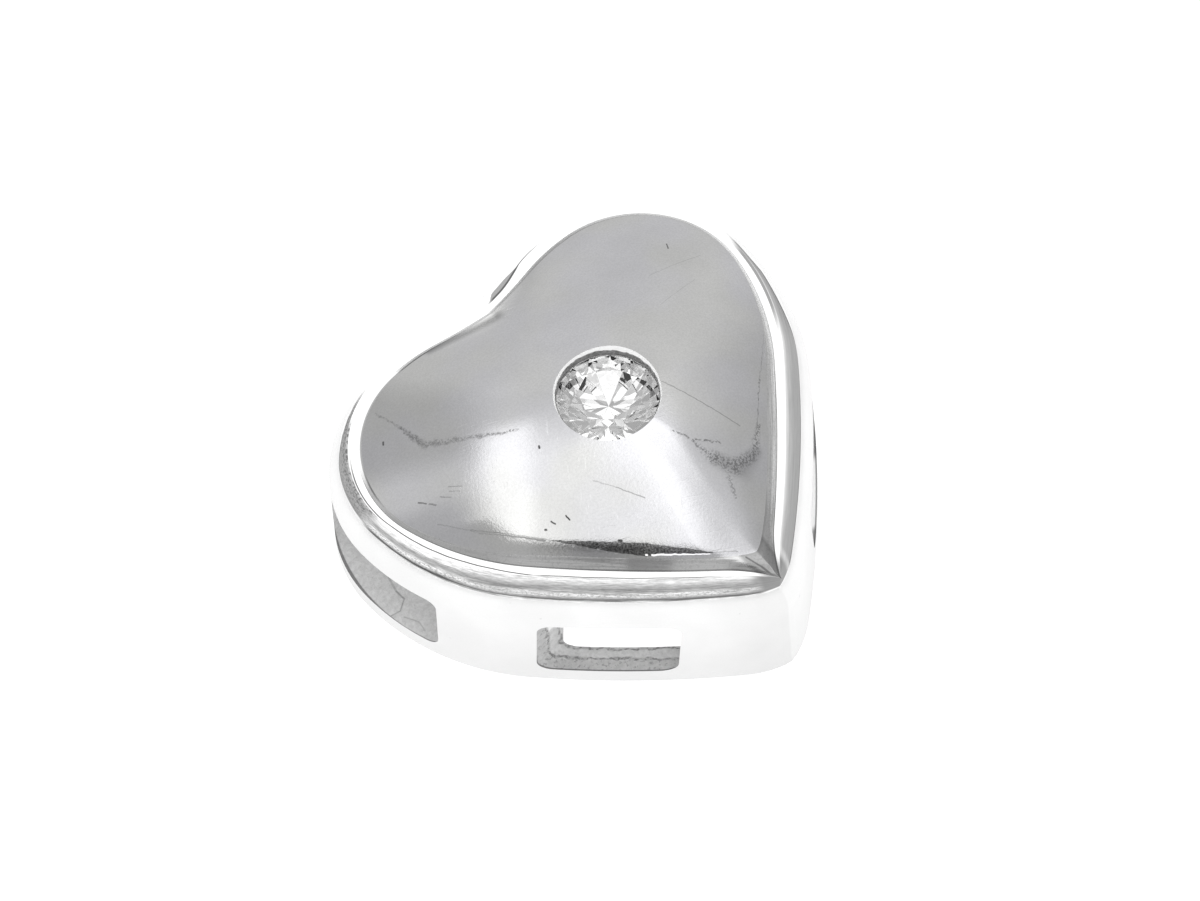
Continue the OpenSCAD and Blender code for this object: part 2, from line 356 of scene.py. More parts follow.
# Distances over the surface: of the columns along the moulding's foot from the tip,
# and of the rings from the first one, measured on one flank
ALONG = lengths(MOULDING_FOOT)
ACROSS = lengths([ring[STEPS // 3] for finish, ring in RINGS])


def band_limits(wanted):
    """First and last distance across the profile of the bands with one finish."""
    numbers = [n for n, (finish, ring) in enumerate(RINGS) if finish == wanted and n > 0]
    return ACROSS[numbers[0] - 1], ACROSS[numbers[-1]]


def placed(point):
    """Place in the frame, in metres, of a point in millimetres from the stone's axis."""
    return Vector((point[0] * MM, (point[1] - MIDDLE_Y) * MM, point[2] * MM))


def nothing_selected():
    bpy.ops.object.select_all(action="DESELECT")


def only(piece):
    """Selects this piece alone and makes it the active one."""
    nothing_selected()
    piece.select_set(True)
    bpy.context.view_layer.objects.active = piece


def edit(piece):
    only(piece)
    bpy.ops.object.mode_set(mode="EDIT")


def leave_edit():
    bpy.ops.object.mode_set(mode="OBJECT")


def lofted_body():
    """The heart's closed skin: a wire ring that is extruded ring by ring."""
    nothing_selected()
    bpy.ops.mesh.primitive_circle_add(vertices=COLUMNS, radius=HEART_W / 2 * MM, fill_type="NOTHING")
    body = bpy.context.object
    body.name = "silver_heart"
    edit(body)
    bm = bmesh.from_edit_mesh(body.data)
    bm.verts.ensure_lookup_table()
    where = {v.index: (0, v.index) for v in bm.verts}
    for v in bm.verts:
        v.co = placed(RINGS[0][1][v.index])
    bmesh.update_edit_mesh(body.data)
    for number, (finish, ring) in enumerate(RINGS[1:], 1):
        bpy.ops.mesh.extrude_region_move()
        bm = bmesh.from_edit_mesh(body.data)
        bm.verts.index_update()
        for v in bm.verts:
            if not v.select:
                continue
            old = next(e.other_vert(v) for e in v.link_edges if not e.other_vert(v).select)
            column = where[old.index][1]
            where[v.index] = (number, column)
            v.co = placed(ring[column])
        bmesh.update_edit_mesh(body.data)
    bm = bmesh.from_edit_mesh(body.data)
    uv = bm.loops.layers.uv.new("surface")
    for face in bm.faces:
        spots = [where[v.index] for v in face.verts]
        face.material_index = RINGS[max(number for number, column in spots)][0]
        columns = [column for number, column in spots]
        left_side = max(columns) > STEPS or (min(columns) == 0 and max(columns) == COLUMNS - 1)
        for loop, (number, column) in zip(face.loops, spots):
            along = ALONG[min(column, COLUMNS - column)]
            loop[uv].uv = (-along if left_side else along, ACROSS[number])
    bmesh.update_edit_mesh(body.data)
    bpy.ops.mesh.select_all(action="SELECT")
    bpy.ops.mesh.remove_doubles(threshold=WELD)
    bpy.ops.mesh.normals_make_consistent(inside=False)
    leave_edit()
    return body


def strap_channel_cutter(name, y, width):
    """Rounded bar that cuts one pair of strap slots."""
    nothing_selected()
    bpy.ops.mesh.primitive_cube_add(
        size=1, location=placed((0, y + width / 2, SLOT_Z + SLOT_H / 2)),
        scale=((HEART_W + 2) * MM, width * MM, SLOT_H * MM))
    bar = bpy.context.object
    bar.name = name
    bpy.ops.object.transform_apply(location=True, rotation=True, scale=True)
    edit(bar)
    bpy.ops.mesh.select_all(action="DESELECT")
    bm = bmesh.from_edit_mesh(bar.data)
    for edge in bm.edges:
        a, b = (v.co for v in edge.verts)
        edge.select = abs(a.x - b.x) > HEART_W * MM
    bmesh.update_edit_mesh(bar.data)
    bpy.ops.mesh.bevel(offset=SLOT_CORNER * MM, segments=SLOT_CORNER_STEPS, affect="EDGES")
    leave_edit()
    for face in bar.data.polygons:
        face.material_index = SLOT
    return bar


# Shader nodes
class Value:
    """Output of a shader node. Arithmetic with it adds Math nodes to its tree."""

    def __init__(self, socket):
        self.socket, self.tree = socket, socket.id_data

    def __add__(self, other):
        return computed("ADD", self, other)

    def __sub__(self, other):
        return computed("SUBTRACT", self, other)

    def __rsub__(self, other):
        return computed("SUBTRACT", other, self)

    def __mul__(self, other):
        return computed("MULTIPLY", self, other)

    def __truediv__(self, other):
        return computed("DIVIDE", self, other)

    def __abs__(self):
        return computed("ABSOLUTE", self)


def set_inputs(node, values):
    """Sets a node's inputs, each to a plain value or to a Value."""
    for key, value in values.items():
        if isinstance(value, Value):
            value.tree.links.new(value.socket, node.inputs[key])
        else:
            node.inputs[key].default_value = value


def put(tree, kind, values=None, **settings):
    """New node of a tree, with its settings and inputs."""
    node = tree.nodes.new("ShaderNode" + kind)
    for key, value in settings.items():
        setattr(node, key, value)
    set_inputs(node, values or {})
    return node


def source(tree, kind, output, **settings):
    """Output of a new node that takes no Value."""
    return Value(put(tree, kind, **settings).outputs[output])


def made(kind, values, output=0, **settings):
    """Output of a new node, in the tree of the Values that it takes."""
    tree = next(value.tree for value in values.values() if isinstance(value, Value))
    return Value(put(tree, kind, values, **settings).outputs[output])


def computed(operation, a, b=0.0, clamp=False):
    """Output of a Math node."""
    return made("Math", {0: a, 1: b}, operation=operation, use_clamp=clamp)


def highest(first, *others):
    for value in others:
        first = computed("MAXIMUM", first, value)
    return first


def lower(a, b):
    return computed("MINIMUM", a, b)


def ramp(value, low, high, to_low=0.0, to_high=1.0):
    """Smooth change from to_low at low to to_high at high."""
    return made("MapRange", {"Value": value, "From Min": low, "From Max": high, "To Min": to_low,
                             "To Max": to_high}, interpolation_type="SMOOTHSTEP")


# Most of a noise pattern lies between these values
NOISE_LOW, NOISE_HIGH = 0.3, 0.7


def spread(pattern, low, high):
    """Noise pattern as a smooth change from low to high."""
    return ramp(pattern, NOISE_LOW, NOISE_HIGH, low, high)


def mixed(mask, low, high):
    """Mix that is low where the mask is 0 and high where it is 1."""
    return made("Mix", {"Factor": mask, "A": low, "B": high})


def vector(operation, a, b, output="Vector"):
    return made("VectorMath", {0: a, 1: b}, output, operation=operation)


def length(place):
    return made("VectorMath", {0: place}, "Value", operation="LENGTH")


def parts_of(place):
    """X, Y and Z of a place, each as a Value."""
    return [Value(part) for part in put(place.tree, "SeparateXYZ", {0: place}).outputs]


def noise(place, scale, detail=3.0, rough=0.5, output=0):
    return made("TexNoise", {"Vector": place, "Scale": scale, "Detail": detail, "Roughness": rough}, output)


def grey(level, warm=None):
    """Colour of one brightness, a little warmer or cooler where warm says so."""
    blue = level if warm is None else level * (1.0 - warm)
    return made("CombineColor", {"Red": level, "Green": level, "Blue": blue})


def profile(value, stops):
    """Brightness along a value from 0 to 1, through (value, brightness) stops."""
    node = put(value.tree, "ValToRGB", {0: value})
    points = node.color_ramp.elements
    for where, level in stops[1:-1]:
        points.new(where).color = (level, level, level, 1)
    points[0].color = (stops[0][1],) * 3 + (1,)
    points[len(points) - 1].color = (stops[-1][1],) * 3 + (1,)
    return Value(node.outputs[0])


def place_mm(tree):
    """Place on the piece in millimetres, measured from the stone's axis."""
    coords = source(tree, "TexCoord", "Object")
    to_mm, to_axis = (1 / MM, 1 / MM, 1 / MM), (0, MIDDLE_Y, 0)
    return made("VectorMath", {0: coords, 1: to_mm, 2: to_axis}, operation="MULTIPLY_ADD")


def surface(tree):
    """Place over the surface in millimetres, then its distance along the moulding from
    the tip, less than 0 on the left, and its distance across the profile."""
    uv = source(tree, "UVMap", 0, uv_map="surface")
    return uv, *parts_of(uv)[:2]


def streaked(uv, along, across, detail=3.0, rough=0.5):
    """Noise with its own scale along the moulding and across the profile."""
    return noise(vector("MULTIPLY", uv, (along, across, 1.0)), 1.0, detail, rough)


def new_group(name, output, **inputs):
    """Node group with these inputs and their starting values, and each input's Value."""
    tree = bpy.data.node_groups.new(name, "ShaderNodeTree")
    for label, start in inputs.items():
        kind = "NodeSocketVector" if isinstance(start, tuple) else "NodeSocketFloat"
        tree.interface.new_socket(name=label, in_out="INPUT", socket_type=kind).default_value = start
    tree.interface.new_socket(name=output, in_out="OUTPUT", socket_type="NodeSocketFloat")
    given = tree.nodes.new("NodeGroupInput").outputs
    return tree, [Value(given[label]) for label in inputs]


def group_result(tree, value):
    """Links a Value to the group's output."""
    set_inputs(tree.nodes.new("NodeGroupOutput"), {0: value})
    return tree


def line_mark_group():
    """Mask of a straight, tapering mark between two places, seen from above."""
    tree, (place, start, end, first, last, soft) = new_group(
        "line mark", "Mask", Place=(0, 0, 0), Start=(0, 0, 0), End=(1, 0, 0), Width=0.05, Last=0.05, Soft=0.7)
    offset = vector("SUBTRACT", vector("MULTIPLY", place, (1, 1, 0)), start)
    way = vector("SUBTRACT", end, start)
    share = computed("DIVIDE", vector("DOT_PRODUCT", offset, way, "Value"),
                     vector("DOT_PRODUCT", way, way, "Value"), clamp=True)
    nearest = made("VectorMath", {0: way, "Scale": share}, operation="SCALE")
    away = length(vector("SUBTRACT", offset, nearest))
    width = mixed(share, first, last)
    return group_result(tree, ramp(away, width, width * (1.0 - soft)))


def scratches_group():
    """Height of fine parallel scratches that run in one direction."""
    tree, (place, turn, scale, share) = new_group(
        "fine scratches", "Height", Place=(0, 0, 0), Turn=0.0, Scale=4.0, Share=0.62)
    turned = made("VectorRotate", {"Vector": place, "Angle": turn}, rotation_type="Z_AXIS")
    fine = noise(vector("MULTIPLY", turned, (0.12, 3.0, 1.0)), scale, 5.0)
    patches = ramp(noise(place, 0.7, 2.0), 0.45, 0.65)
    return group_result(tree, ramp(fine, share, share + 0.08) * patches)


def grain_group():
    """Mask of small dark grains, as a casting shows them."""
    tree, (place, scale, share) = new_group(
        "casting grain", "Mask", Place=(0, 0, 0), Scale=12.0, Share=0.6)
    return group_result(tree, ramp(noise(place, scale, 2.0, 0.7), share, share + 0.06))


LINE_MARK, SCRATCHES, GRAIN = line_mark_group(), scratches_group(), grain_group()


def use(group, **values):
    """Output of a node group used with these inputs."""
    return made("Group", values, node_tree=group)


def grain(place, scale, share):
    return use(GRAIN, Place=place, Scale=scale, Share=share)


def scratches(place, turn, scale, share):
    return use(SCRATCHES, Place=place, Turn=turn, Scale=scale, Share=share)


def marks(place, rows, soft=0.7):
    """All line marks of a list of (start, end, width, strength), as one mask. A mark
    that tapers has its first and last width in brackets."""
    masks = []
    for start, end, width, strength in rows:
        first, last = width if isinstance(width, tuple) else (width, width)
        mask = use(LINE_MARK, Place=place, Start=(*start, 0), End=(*end, 0),
                   Width=first, Last=last, Soft=soft)
        masks.append(mask * strength)
    return highest(*masks)


def wavy_place(place, size):
    """Place moved a little by noise, so that marks aren't ruler-straight."""
    bend = vector("SUBTRACT", noise(place, 5.0, output="Color"), (0.5, 0.5, 0.5))
    return vector("ADD", vector("MULTIPLY", bend, (size, size, 0.0)), place)


def through_stone(tree):
    """1 for light that has come through the stone, or else 0."""
    return computed("GREATER_THAN", source(tree, "LightPath", "Transmission Depth"), 0.5)


def new_material(name):
    material = bpy.data.materials.new(name)
    material.use_nodes = True
    tree = material.node_tree
    tree.nodes.clear()
    shader = put(tree, "BsdfPrincipled")
    put(tree, "OutputMaterial", {"Surface": Value(shader.outputs[0])})
    return material, tree, shader


def metal(name):
    """New silver material, its shader and the place in millimetres."""
    material, tree, shader = new_material(name)
    return material, shader, place_mm(tree)


def polished(shader, level, rough, painted_white, warm=None):
    """Mirror finish of one brightness, painted plain white where painted_white says so: painted highlights
    and reflections.
    """
    set_inputs(shader, {"Base Color": grey(level, warm), "Roughness": rough, "Metallic": 1.0 - painted_white})


def matt(shader, level, rough, specular=0.2):
    """Satin or rough finish of one brightness, which mirrors little."""
    set_inputs(shader, {"Base Color": grey(level), "Roughness": rough, "Specular IOR Level": specular})


def bumped(shader, height, distance):
    set_inputs(shader, {"Normal": made("Bump", {"Height": height, "Distance": distance * MM})})


def lit_through_stone(shader, level):
    """Metal behind the stone looks bright through it, as under many small lights."""
    glow = grey(through_stone(level.tree) * level)
    set_inputs(shader, {"Emission Color": glow, "Emission Strength": 1.0})


# Marks on the dome: start, end, width and strength, in millimetres from the stone
DOME_MARKS = [
    ((1.34, -0.75), (2.20, -2.92), 0.022, 0.45), ((-2.03, -1.58), (-1.70, -2.15), 0.02, 0.35),
    ((-1.70, -2.15), (-1.33, -2.88), 0.022, 0.5), ((3.69, 2.24), (5.41, 2.00), 0.012, 0.25),
    ((3.1, 1.2), (4.6, 1.35), 0.012, 0.2), ((-2.45, 0.10), (-2.42, 0.14), 0.045, 1.0),
    ((-2.55, -3.13), (-2.51, -3.17), 0.07, 1.0), ((4.86, 2.74), (4.96, 2.92), 0.03, 0.8),
    ((-5.10, 3.70), (-5.04, 3.78), 0.035, 0.9), ((-5.63, 1.63), (-5.50, 1.42), 0.03, 0.7),
    ((-5.46, 1.35), (-5.36, 1.19), 0.03, 0.6), ((-4.82, 1.26), (-4.56, 0.97), 0.02, 0.45),
    ((-4.86, 1.14), (-4.68, 0.92), 0.02, 0.4), ((-5.14, 1.25), (-4.95, 1.0), 0.02, 0.45),
    ((-3.79, -1.52), (-3.76, -1.55), 0.035, 0.9), ((-3.54, -1.50), (-3.50, -1.62), 0.03, 0.9),
    ((-3.15, -1.68), (-3.15, -1.84), 0.03, 1.0), ((-6.0, 0.51), (-5.83, 0.10), 0.05, 0.9),
    ((-5.65, 0.80), (-5.05, -0.26), 0.02, 0.3), ((-5.05, -0.26), (-3.96, -1.70), 0.03, 0.5)]
ROUGH_LINES = [
    ((-4.53, 4.73), (-4.46, 3.69), (0.03, 0.06), 0.5), ((-4.46, 3.69), (-4.41, 2.67), (0.07, 0.13), 0.9),
    ((-4.41, 2.67), (-4.0, 2.2), (0.10, 0.07), 0.8), ((-4.0, 2.2), (-2.77, 1.15), (0.07, 0.04), 0.7),
    ((5.19, -0.83), (3.72, -2.13), (0.008, 0.016), 0.8), ((3.72, -2.13), (2.63, -3.15), 0.02, 0.9)]
# Patches of loose dark crumbs
CRUMBS = [
    ((-4.50, 3.5), (-4.40, 2.67), (0.05, 0.20), 0.8), ((-4.41, 2.67), (-3.6, 1.9), (0.18, 0.10), 0.8),
    ((-3.6, 1.9), (-2.5, 0.9), (0.10, 0.05), 0.8), ((0.45, -1.95), (0.75, -2.55), (0.02, 0.07), 0.9),
    ((0.75, -2.55), (1.33, -3.05), 0.06, 1.0), ((0.75, -2.6), (0.78, -3.3), (0.08, 0.20), 0.9),
    ((0.85, -3.2), (1.15, -3.80), (0.30, 0.34), 0.9), ((1.15, -3.75), (1.95, -3.75), (0.34, 0.22), 0.9),
    ((0.80, -3.95), (0.56, -4.45), (0.16, 0.04), 0.7), ((1.95, -3.75), (2.75, -3.1), (0.20, 0.06), 0.9),
    ((-5.95, 0.55), (-5.75, 0.05), 0.05, 1.0)]
# Painted shade: a darker ground between the crumbs on the right
PAINTED_SHADE_GROUND = [
    ((0.90, -3.4), (1.30, -3.95), (0.35, 0.45), 1.0), ((1.30, -3.95), (2.1, -3.7), (0.45, 0.25), 1.0)]
# Painted reflection: the dark band along the foot of the cap in front, and its ends
DARK_BAND = [
    ((-3.81, -1.85), (-2.77, -3.08), (0.012, 0.12), 1.0),
    ((-2.77, -3.08), (-2.16, -3.77), (0.12, 0.16), 1.0),
    ((-2.16, -3.77), (-1.15, -4.82), (0.145, 0.05), 1.0),
    ((-1.15, -4.82), (-0.91, -5.08), (0.05, 0.012), 1.0)]
DARK_BAND_ENDS = [
    ((-0.91, -5.06), (-0.38, -5.50), 0.018, 0.45), ((-5.18, 0.0), (-3.81, -1.85), (0.012, 0.02), 0.5)]
# Painted shade beside the cleft
CLEFT_SHADE = [((-2.05, 5.25), (-0.05, 4.68), (0.28, 0.38), 1.0)]
# Painted highlight: lines painted white on the ridge between cap and bevel in front
WHITE_LINES = [
    ((-2.24, -3.85), (-2.21, -3.88), 0.03, 1.0), ((-2.12, -3.97), (-0.98, -5.04), (0.032, 0.014), 1.0)]
# A darker patch on the bevel in front, and the painted shade line along the mitre at the tip
BEVEL_DARK_PATCH = [((-2.45, -3.75), (-2.0, -4.2), 0.5, 1.0)]
TIP_MITRE = [((-0.32, -5.75), (-0.17, -6.22), 0.03, 0.8), ((-0.17, -6.22), (-0.10, -6.64), 0.04, 0.8)]
# Foot of the dome at the tip, round which the cap is rougher and darker, the darkening painted shade
TIP_FOOT = (0, -6.85, 4.6)


# In the finishes a number is a brightness or roughness from 0 to 1, a place or distance
# in millimetres, or the scale of a pattern for each millimetre
def dome_metal():
    """Mirror with marks, crumbs and lines; rougher at the tip, with painted shade there, on the right and
    beside the cleft, painted highlight lines on the ridge in front, and the dark band along its foot in
    front as a painted reflection."""
    material, shader, place = metal("polished silver dome")
    cloudy = noise(place, 0.6)
    wavy = wavy_place(place, 0.16)
    slightly_wavy = wavy_place(place, 0.06)
    rough_line = marks(wavy, ROUGH_LINES) * mixed(grain(place, 14.0, 0.5), 0.35, 1.0)
    crumbs = marks(wavy, CRUMBS, soft=0.9) * grain(place, 16.0, 0.48)
    specks = grain(place, 9.0, 0.74) * 0.35
    dark = highest(marks(slightly_wavy, DOME_MARKS), highest(rough_line, crumbs) * 0.7, specks)
    # Painted reflection: the dark band along the cap's foot in front, with its ends
    band = highest(marks(slightly_wavy, DARK_BAND, soft=0.15), marks(slightly_wavy, DARK_BAND_ENDS))
    # Painted shade round the tip: the base is darker there; the roughness below is raised there too
    tip = ramp(length(vector("SUBTRACT", place, TIP_FOOT)), 2.0, 1.0)
    base = mixed(tip, spread(cloudy, 0.90, 0.96), 0.82)
    # Painted shade: darker ground between the crumbs on the right
    base = mixed(marks(place, PAINTED_SHADE_GROUND, soft=1.0), base, 0.70)
    base = mixed(dark, base, 0.12) * spread(noise(place, 18.0, 2.0, 0.7), 0.94, 1.03)
    base = mixed(band, base, ramp(noise(place, 22.0, 2.0, 0.7), 0.35, 0.62, 0.12, 0.42))
    # Painted highlight: white lines on the ridge in front
    white = marks(slightly_wavy, WHITE_LINES)
    base = mixed(white, base, 1.0)
    # Painted shade beside the cleft: the base is halved there
    base = mixed(marks(place, CLEFT_SHADE, soft=1.0), base, base * 0.5)
    warm = ramp(noise(place, 0.45, 1.0), 0.35, 0.65, -0.03, 0.012)
    x, y, z = parts_of(place)
    ridge = ramp(abs(x), 0.5, 0.12) * ramp(y, -1.3, -2.0)
    rough = mixed(tip, mixed(ridge, spread(cloudy, 0.02, 0.05), 0.20), 0.25)
    polished(shader, base, mixed(dark, rough, 0.5), white, warm)
    lines = scratches(place, 0.55, 5.0, 0.6) + scratches(place, -0.9, 6.0, 0.64)
    bumped(shader, noise(place, 12.0, 4.0, 0.7) * 0.4 + lines * -0.18, 0.004)
    return material


def bevel_metal():
    """The dome's bevelled edge: streaks along it, a darker patch in front, a painted shade line at its
    foot and along the mitre at the tip, painted highlight lines on its ridge; it is painted white on the left
    lobe as a painted reflection, and darker round the far side, by the tip and near its crest as painted
    shade."""
    material, shader, place = metal("bevelled silver edge")
    foot_v, top_v = band_limits(BEVEL)
    uv, u, v = surface(place.tree)
    streaks = streaked(uv, 0.5, 16.0, 4.0, 0.6)
    dark_patch = marks(place, BEVEL_DARK_PATCH) * ramp(streaks, 0.35, 0.6, 0.3, 1.0)
    base = mixed(dark_patch * 0.5, spread(streaks, 0.84, 1.0), 0.25)
    base = mixed(grain(place, 12.0, 0.55) * 0.15, base, 0.3)
    # Painted shade: darker round the far side, right of the tip and at the tip
    far = highest(ramp(u, 12.0, 13.5), ramp(u, -17.0, -18.6))
    base = base * mixed(far, 1.0, 0.60)
    right_of_tip = ramp(abs(u), 2.2, 1.0) * ramp(u, 0.3, 0.5)
    base = base * mixed(right_of_tip, 1.0, 0.72) * ramp(abs(u), 0.52, 0.38, 1.0, 0.5)
    # Painted shade: a dark line along the bevel's foot, where it meets the ledge, and along the mitre at the
    # tip
    rim = ramp(v - foot_v, 0.06, 0.03)
    base = mixed(highest(marks(place, TIP_MITRE), rim * 0.55), base, 0.15)
    # Painted reflection: the bevel is painted white on the left lobe, joined by the painted highlight lines
    painted_white = ramp(u, -13.2, -14.2) * ramp(u, -17.4, -16.8)
    white = highest(marks(wavy_place(place, 0.06), WHITE_LINES), painted_white)
    # Painted shade near the crest, from the left lobe round to the cleft
    crest = ramp(top_v - v, 0.16, 0.08) * ramp(u, -12.6, -13.4) * ramp(u, -20.2, -19.4)
    base = mixed(crest * 0.7, mixed(white, base, 0.9), 0.10)
    polished(shader, base, spread(streaks, 0.10, 0.22), white)
    bumped(shader, streaks, 0.004)
    return material


def cleft_shade(u, reach):
    """Dark crescent at the cleft and its brightness; reach is the distance outwards
    from the ledge's outer edge."""
    line_at = ramp(u, 18.5, 20.3, 0.085, -0.105)
    ends = ramp(u, 17.9, 18.7) * ramp(u, 20.8, 20.5)
    fill_to = line_at + ramp(u, 19.2, 20.0) * ramp(u, 20.75, 20.3) * 0.14
    beyond = reach - line_at
    line = ramp(abs(beyond), 0.035, 0.01)
    fill = ramp(beyond, -0.01, 0.01) * ramp(reach - fill_to, 0.01, -0.01)
    return highest(line, fill) * ends, mixed(line, 0.34, 0.10)


def ledge_silver():
    """Satin white, with painted shade lines near the moulding in front, on the left and on the right flank, a
    painted dark reflection along the left lobe's outer edge, and painted shade at the tip and the cleft.
    """
    material, shader, place = metal("satin white ledge")
    foot_v, dome_v = band_limits(LEDGE)
    uv, u, v = surface(place.tree)
    streaks = streaked(uv, 0.4, 20.0)
    slow = streaked(uv, 0.8, 0.0)
    share = (v - foot_v) / (dome_v - foot_v)
    # Painted shade: a thin dark line near the moulding, in front and on the left
    line_at = ramp(u, -8.5, -6.5, 0.34, 0.10) + spread(slow, -0.03, 0.03)
    line = (ramp(abs(share - line_at), 0.085, 0.04) * ramp(u, -14.6, -13.6) * ramp(u, -0.8, -2.0)
            * ramp(slow, 0.32, 0.42, 0.35, 0.95))
    # Painted reflection: a dark grainy strip along the outer edge on the left lobe
    outer = ramp(share, 0.24, 0.14) * ramp(u, -12.0, -12.6) * ramp(u, -15.6, -15.0)
    # Painted shade: a thin dark line near the moulding on the right flank
    outline = ramp(share, 0.34, 0.24) * ramp(u, 7.6, 9.4) * ramp(u, 12.4, 11.4)
    base = mixed(outer, spread(streaks, 0.93, 1.0), mixed(grain(place, 11.0, 0.5), 0.42, 0.15))
    base = mixed(line, mixed(outline, base, 0.30), 0.10)
    shade, shade_level = cleft_shade(u, share * (foot_v - dome_v))
    base = mixed(shade, base, shade_level)
    # Painted shade at the tip
    tip = ramp(abs(u), 0.55, 0.2)
    matt(shader, mixed(tip, base, 0.35), spread(streaks, 0.4, 0.55))
    return material


# Painted reflection bands, each with a painted shade line near the foot: brightness of the moulding from its
# top, 0, to its foot, 1, on each stretch
FRONT_BANDS = [
    (0.0, 0.70), (0.08, 0.78), (0.2, 0.56), (0.30, 0.38), (0.37, 0.31), (0.47, 0.36), (0.56, 0.60),
    (0.64, 0.70), (0.72, 0.50), (0.77, 0.32), (0.83, 0.12), (0.88, 0.18), (0.93, 0.75), (1.0, 0.8)]
RIGHT_BANDS = [
    (0.0, 0.80), (0.04, 0.60), (0.13, 0.40), (0.3, 0.33), (0.5, 0.285), (0.76, 0.25), (0.82, 0.07),
    (0.90, 0.07), (0.94, 0.8), (1.0, 0.8)]
LEFT_BANDS = [
    (0.0, 0.36), (0.1, 0.30), (0.35, 0.33), (0.55, 0.28), (0.66, 0.14), (0.72, 0.28), (0.80, 0.8), (1.0, 0.8)]
NEAR_LEFT_BANDS = [
    (0.0, 0.85), (0.18, 0.8), (0.28, 0.38), (0.42, 0.38), (0.50, 0.7), (0.6, 0.85), (0.70, 0.50),
    (0.77, 0.06), (0.86, 0.06), (0.92, 0.75), (1.0, 0.8)]


def moulding_metal():
    """Moulding with painted reflections: streaked bands painted along it and a painted shade line at its
    foot. The bands differ between the front, the right flank, the left lobe and the cleft; the tip has
    painted shade."""
    material, shader, place = metal("silver moulding with painted reflections")
    foot_v, ledge_v = band_limits(MOULDING)
    uv, u, v = surface(place.tree)
    streaks = streaked(uv, 0.6, 16.0, 5.0, 0.7)
    fine = streaked(uv, 3.0, 30.0, 3.0, 0.7)
    grains = grain(vector("MULTIPLY", uv, (1.0, 1.6, 1.0)), 11.0, 0.5)
    fall = (ledge_v - v) / (ledge_v - foot_v)
    rough_fall = fall + ramp(streaks, 0.2, 0.8, -0.06, 0.06)
    beads = grains * ramp(rough_fall, 0.48, 0.56) * ramp(rough_fall, 0.80, 0.74)
    # Painted reflection bands, with a painted shade line near the foot
    front = mixed(beads * 0.5, profile(rough_fall, FRONT_BANDS), 0.25)
    front = front * (spread(fine, 0.72, 1.25) * ramp(streaks, 0.35, 0.65, 0.82, 1.12))
    narrowing = ramp(u, 7.4, 10.2, 1.0, 3.2) + ramp(u, 10.2, 11.4, 0.0, 4.0)
    right = profile(fall * narrowing, RIGHT_BANDS)
    lifted = rough_fall * ramp(u, -14.0, -16.5, 1.0, 5.2)
    left = mixed(grains * ramp(lifted, 0.72, 0.6) * 0.7, profile(lifted, LEFT_BANDS), 0.10)
    near_left = mixed(beads * 0.6, profile(rough_fall, NEAR_LEFT_BANDS), 0.15) * spread(fine, 0.65, 1.25)
    base = ramp(abs(fall - 0.5), 0.12, 0.03, 0.9, 0.74)
    base = mixed(ramp(u, 0.45, 0.8) * ramp(u, 12.4, 11.6), base, right)
    base = mixed(ramp(u, -0.3, -0.6) * ramp(u, -12.8, -11.8), base,
                 mixed(ramp(u, -8.2, -9.6), front, near_left))
    base = mixed(ramp(u, -11.8, -12.6) * ramp(u, -16.6, -15.8), base, left)
    shade, shade_level = cleft_shade(u, ledge_v - v)
    base = mixed(shade, base, shade_level)
    # Painted shade at the tip
    base = mixed(ramp(abs(u), 0.75, 0.4) * ramp(fall, 0.95, 0.85), base, 0.24)
    matt(shader, base * spread(streaks, 0.86, 1.08), spread(streaks, 0.35, 0.5), 0.3)
    bumped(shader, streaks, 0.008)
    return material


def wall_silver():
    """Satin white, with painted shade: a little darker near the floor and in a strip left of the tip, which
    runs on to the cleft."""
    material, shader, place = metal("satin white wall")
    slow = noise(place, 0.5)
    fine = noise(place, 20.0, 3.0, 0.7)
    specks = grain(place, 3.0, 0.72) * 0.12
    x, y, z = parts_of(place)
    # Painted shade: darker towards the floor and in a strip left of the tip
    strip = ramp(x, -1.9, -0.5) * ramp(x, 0.02, -0.06)
    base = spread(slow, 0.74, 0.785) * ramp(z, 0.3, 3.2, 0.92, 1.0) * mixed(strip, 1.0, 0.93)
    matt(shader, base * spread(fine, 0.99, 1.01) * (1.0 - specks), spread(slow, 0.42, 0.5))
    return material


def inside_silver():
    """Grey, grainy cast surface."""
    material, shader, place = metal("cast inside")
    mottle = noise(place, 7.0, 5.0, 0.7)
    base = mixed(grain(place, 12.0, 0.6) * 0.3, spread(mottle, 0.72, 0.84), 0.36)
    matt(shader, base, spread(mottle, 0.45, 0.55))
    lit_through_stone(shader, spread(mottle, 0.35, 0.60))
    bumped(shader, mottle, 0.02)
    return material


def circle_through(points):
    """Centre and radius of the circle through three points in plan."""
    (ax, ay), (bx, by), (cx, cy) = points
    d = 2 * (ax * (by - cy) + bx * (cy - ay) + cx * (ay - by))
    a2, b2, c2 = ax * ax + ay * ay, bx * bx + by * by, cx * cx + cy * cy
    x = (a2 * (by - cy) + b2 * (cy - ay) + c2 * (ay - by)) / d
    y = (a2 * (cx - bx) + b2 * (ax - cx) + c2 * (bx - ax)) / d
    return (x, y), hypot(ax - x, ay - y)


# Columns of the half outline from the tip to past the lobe's slot
SLOT_COLUMNS = STEPS // 2 + 30


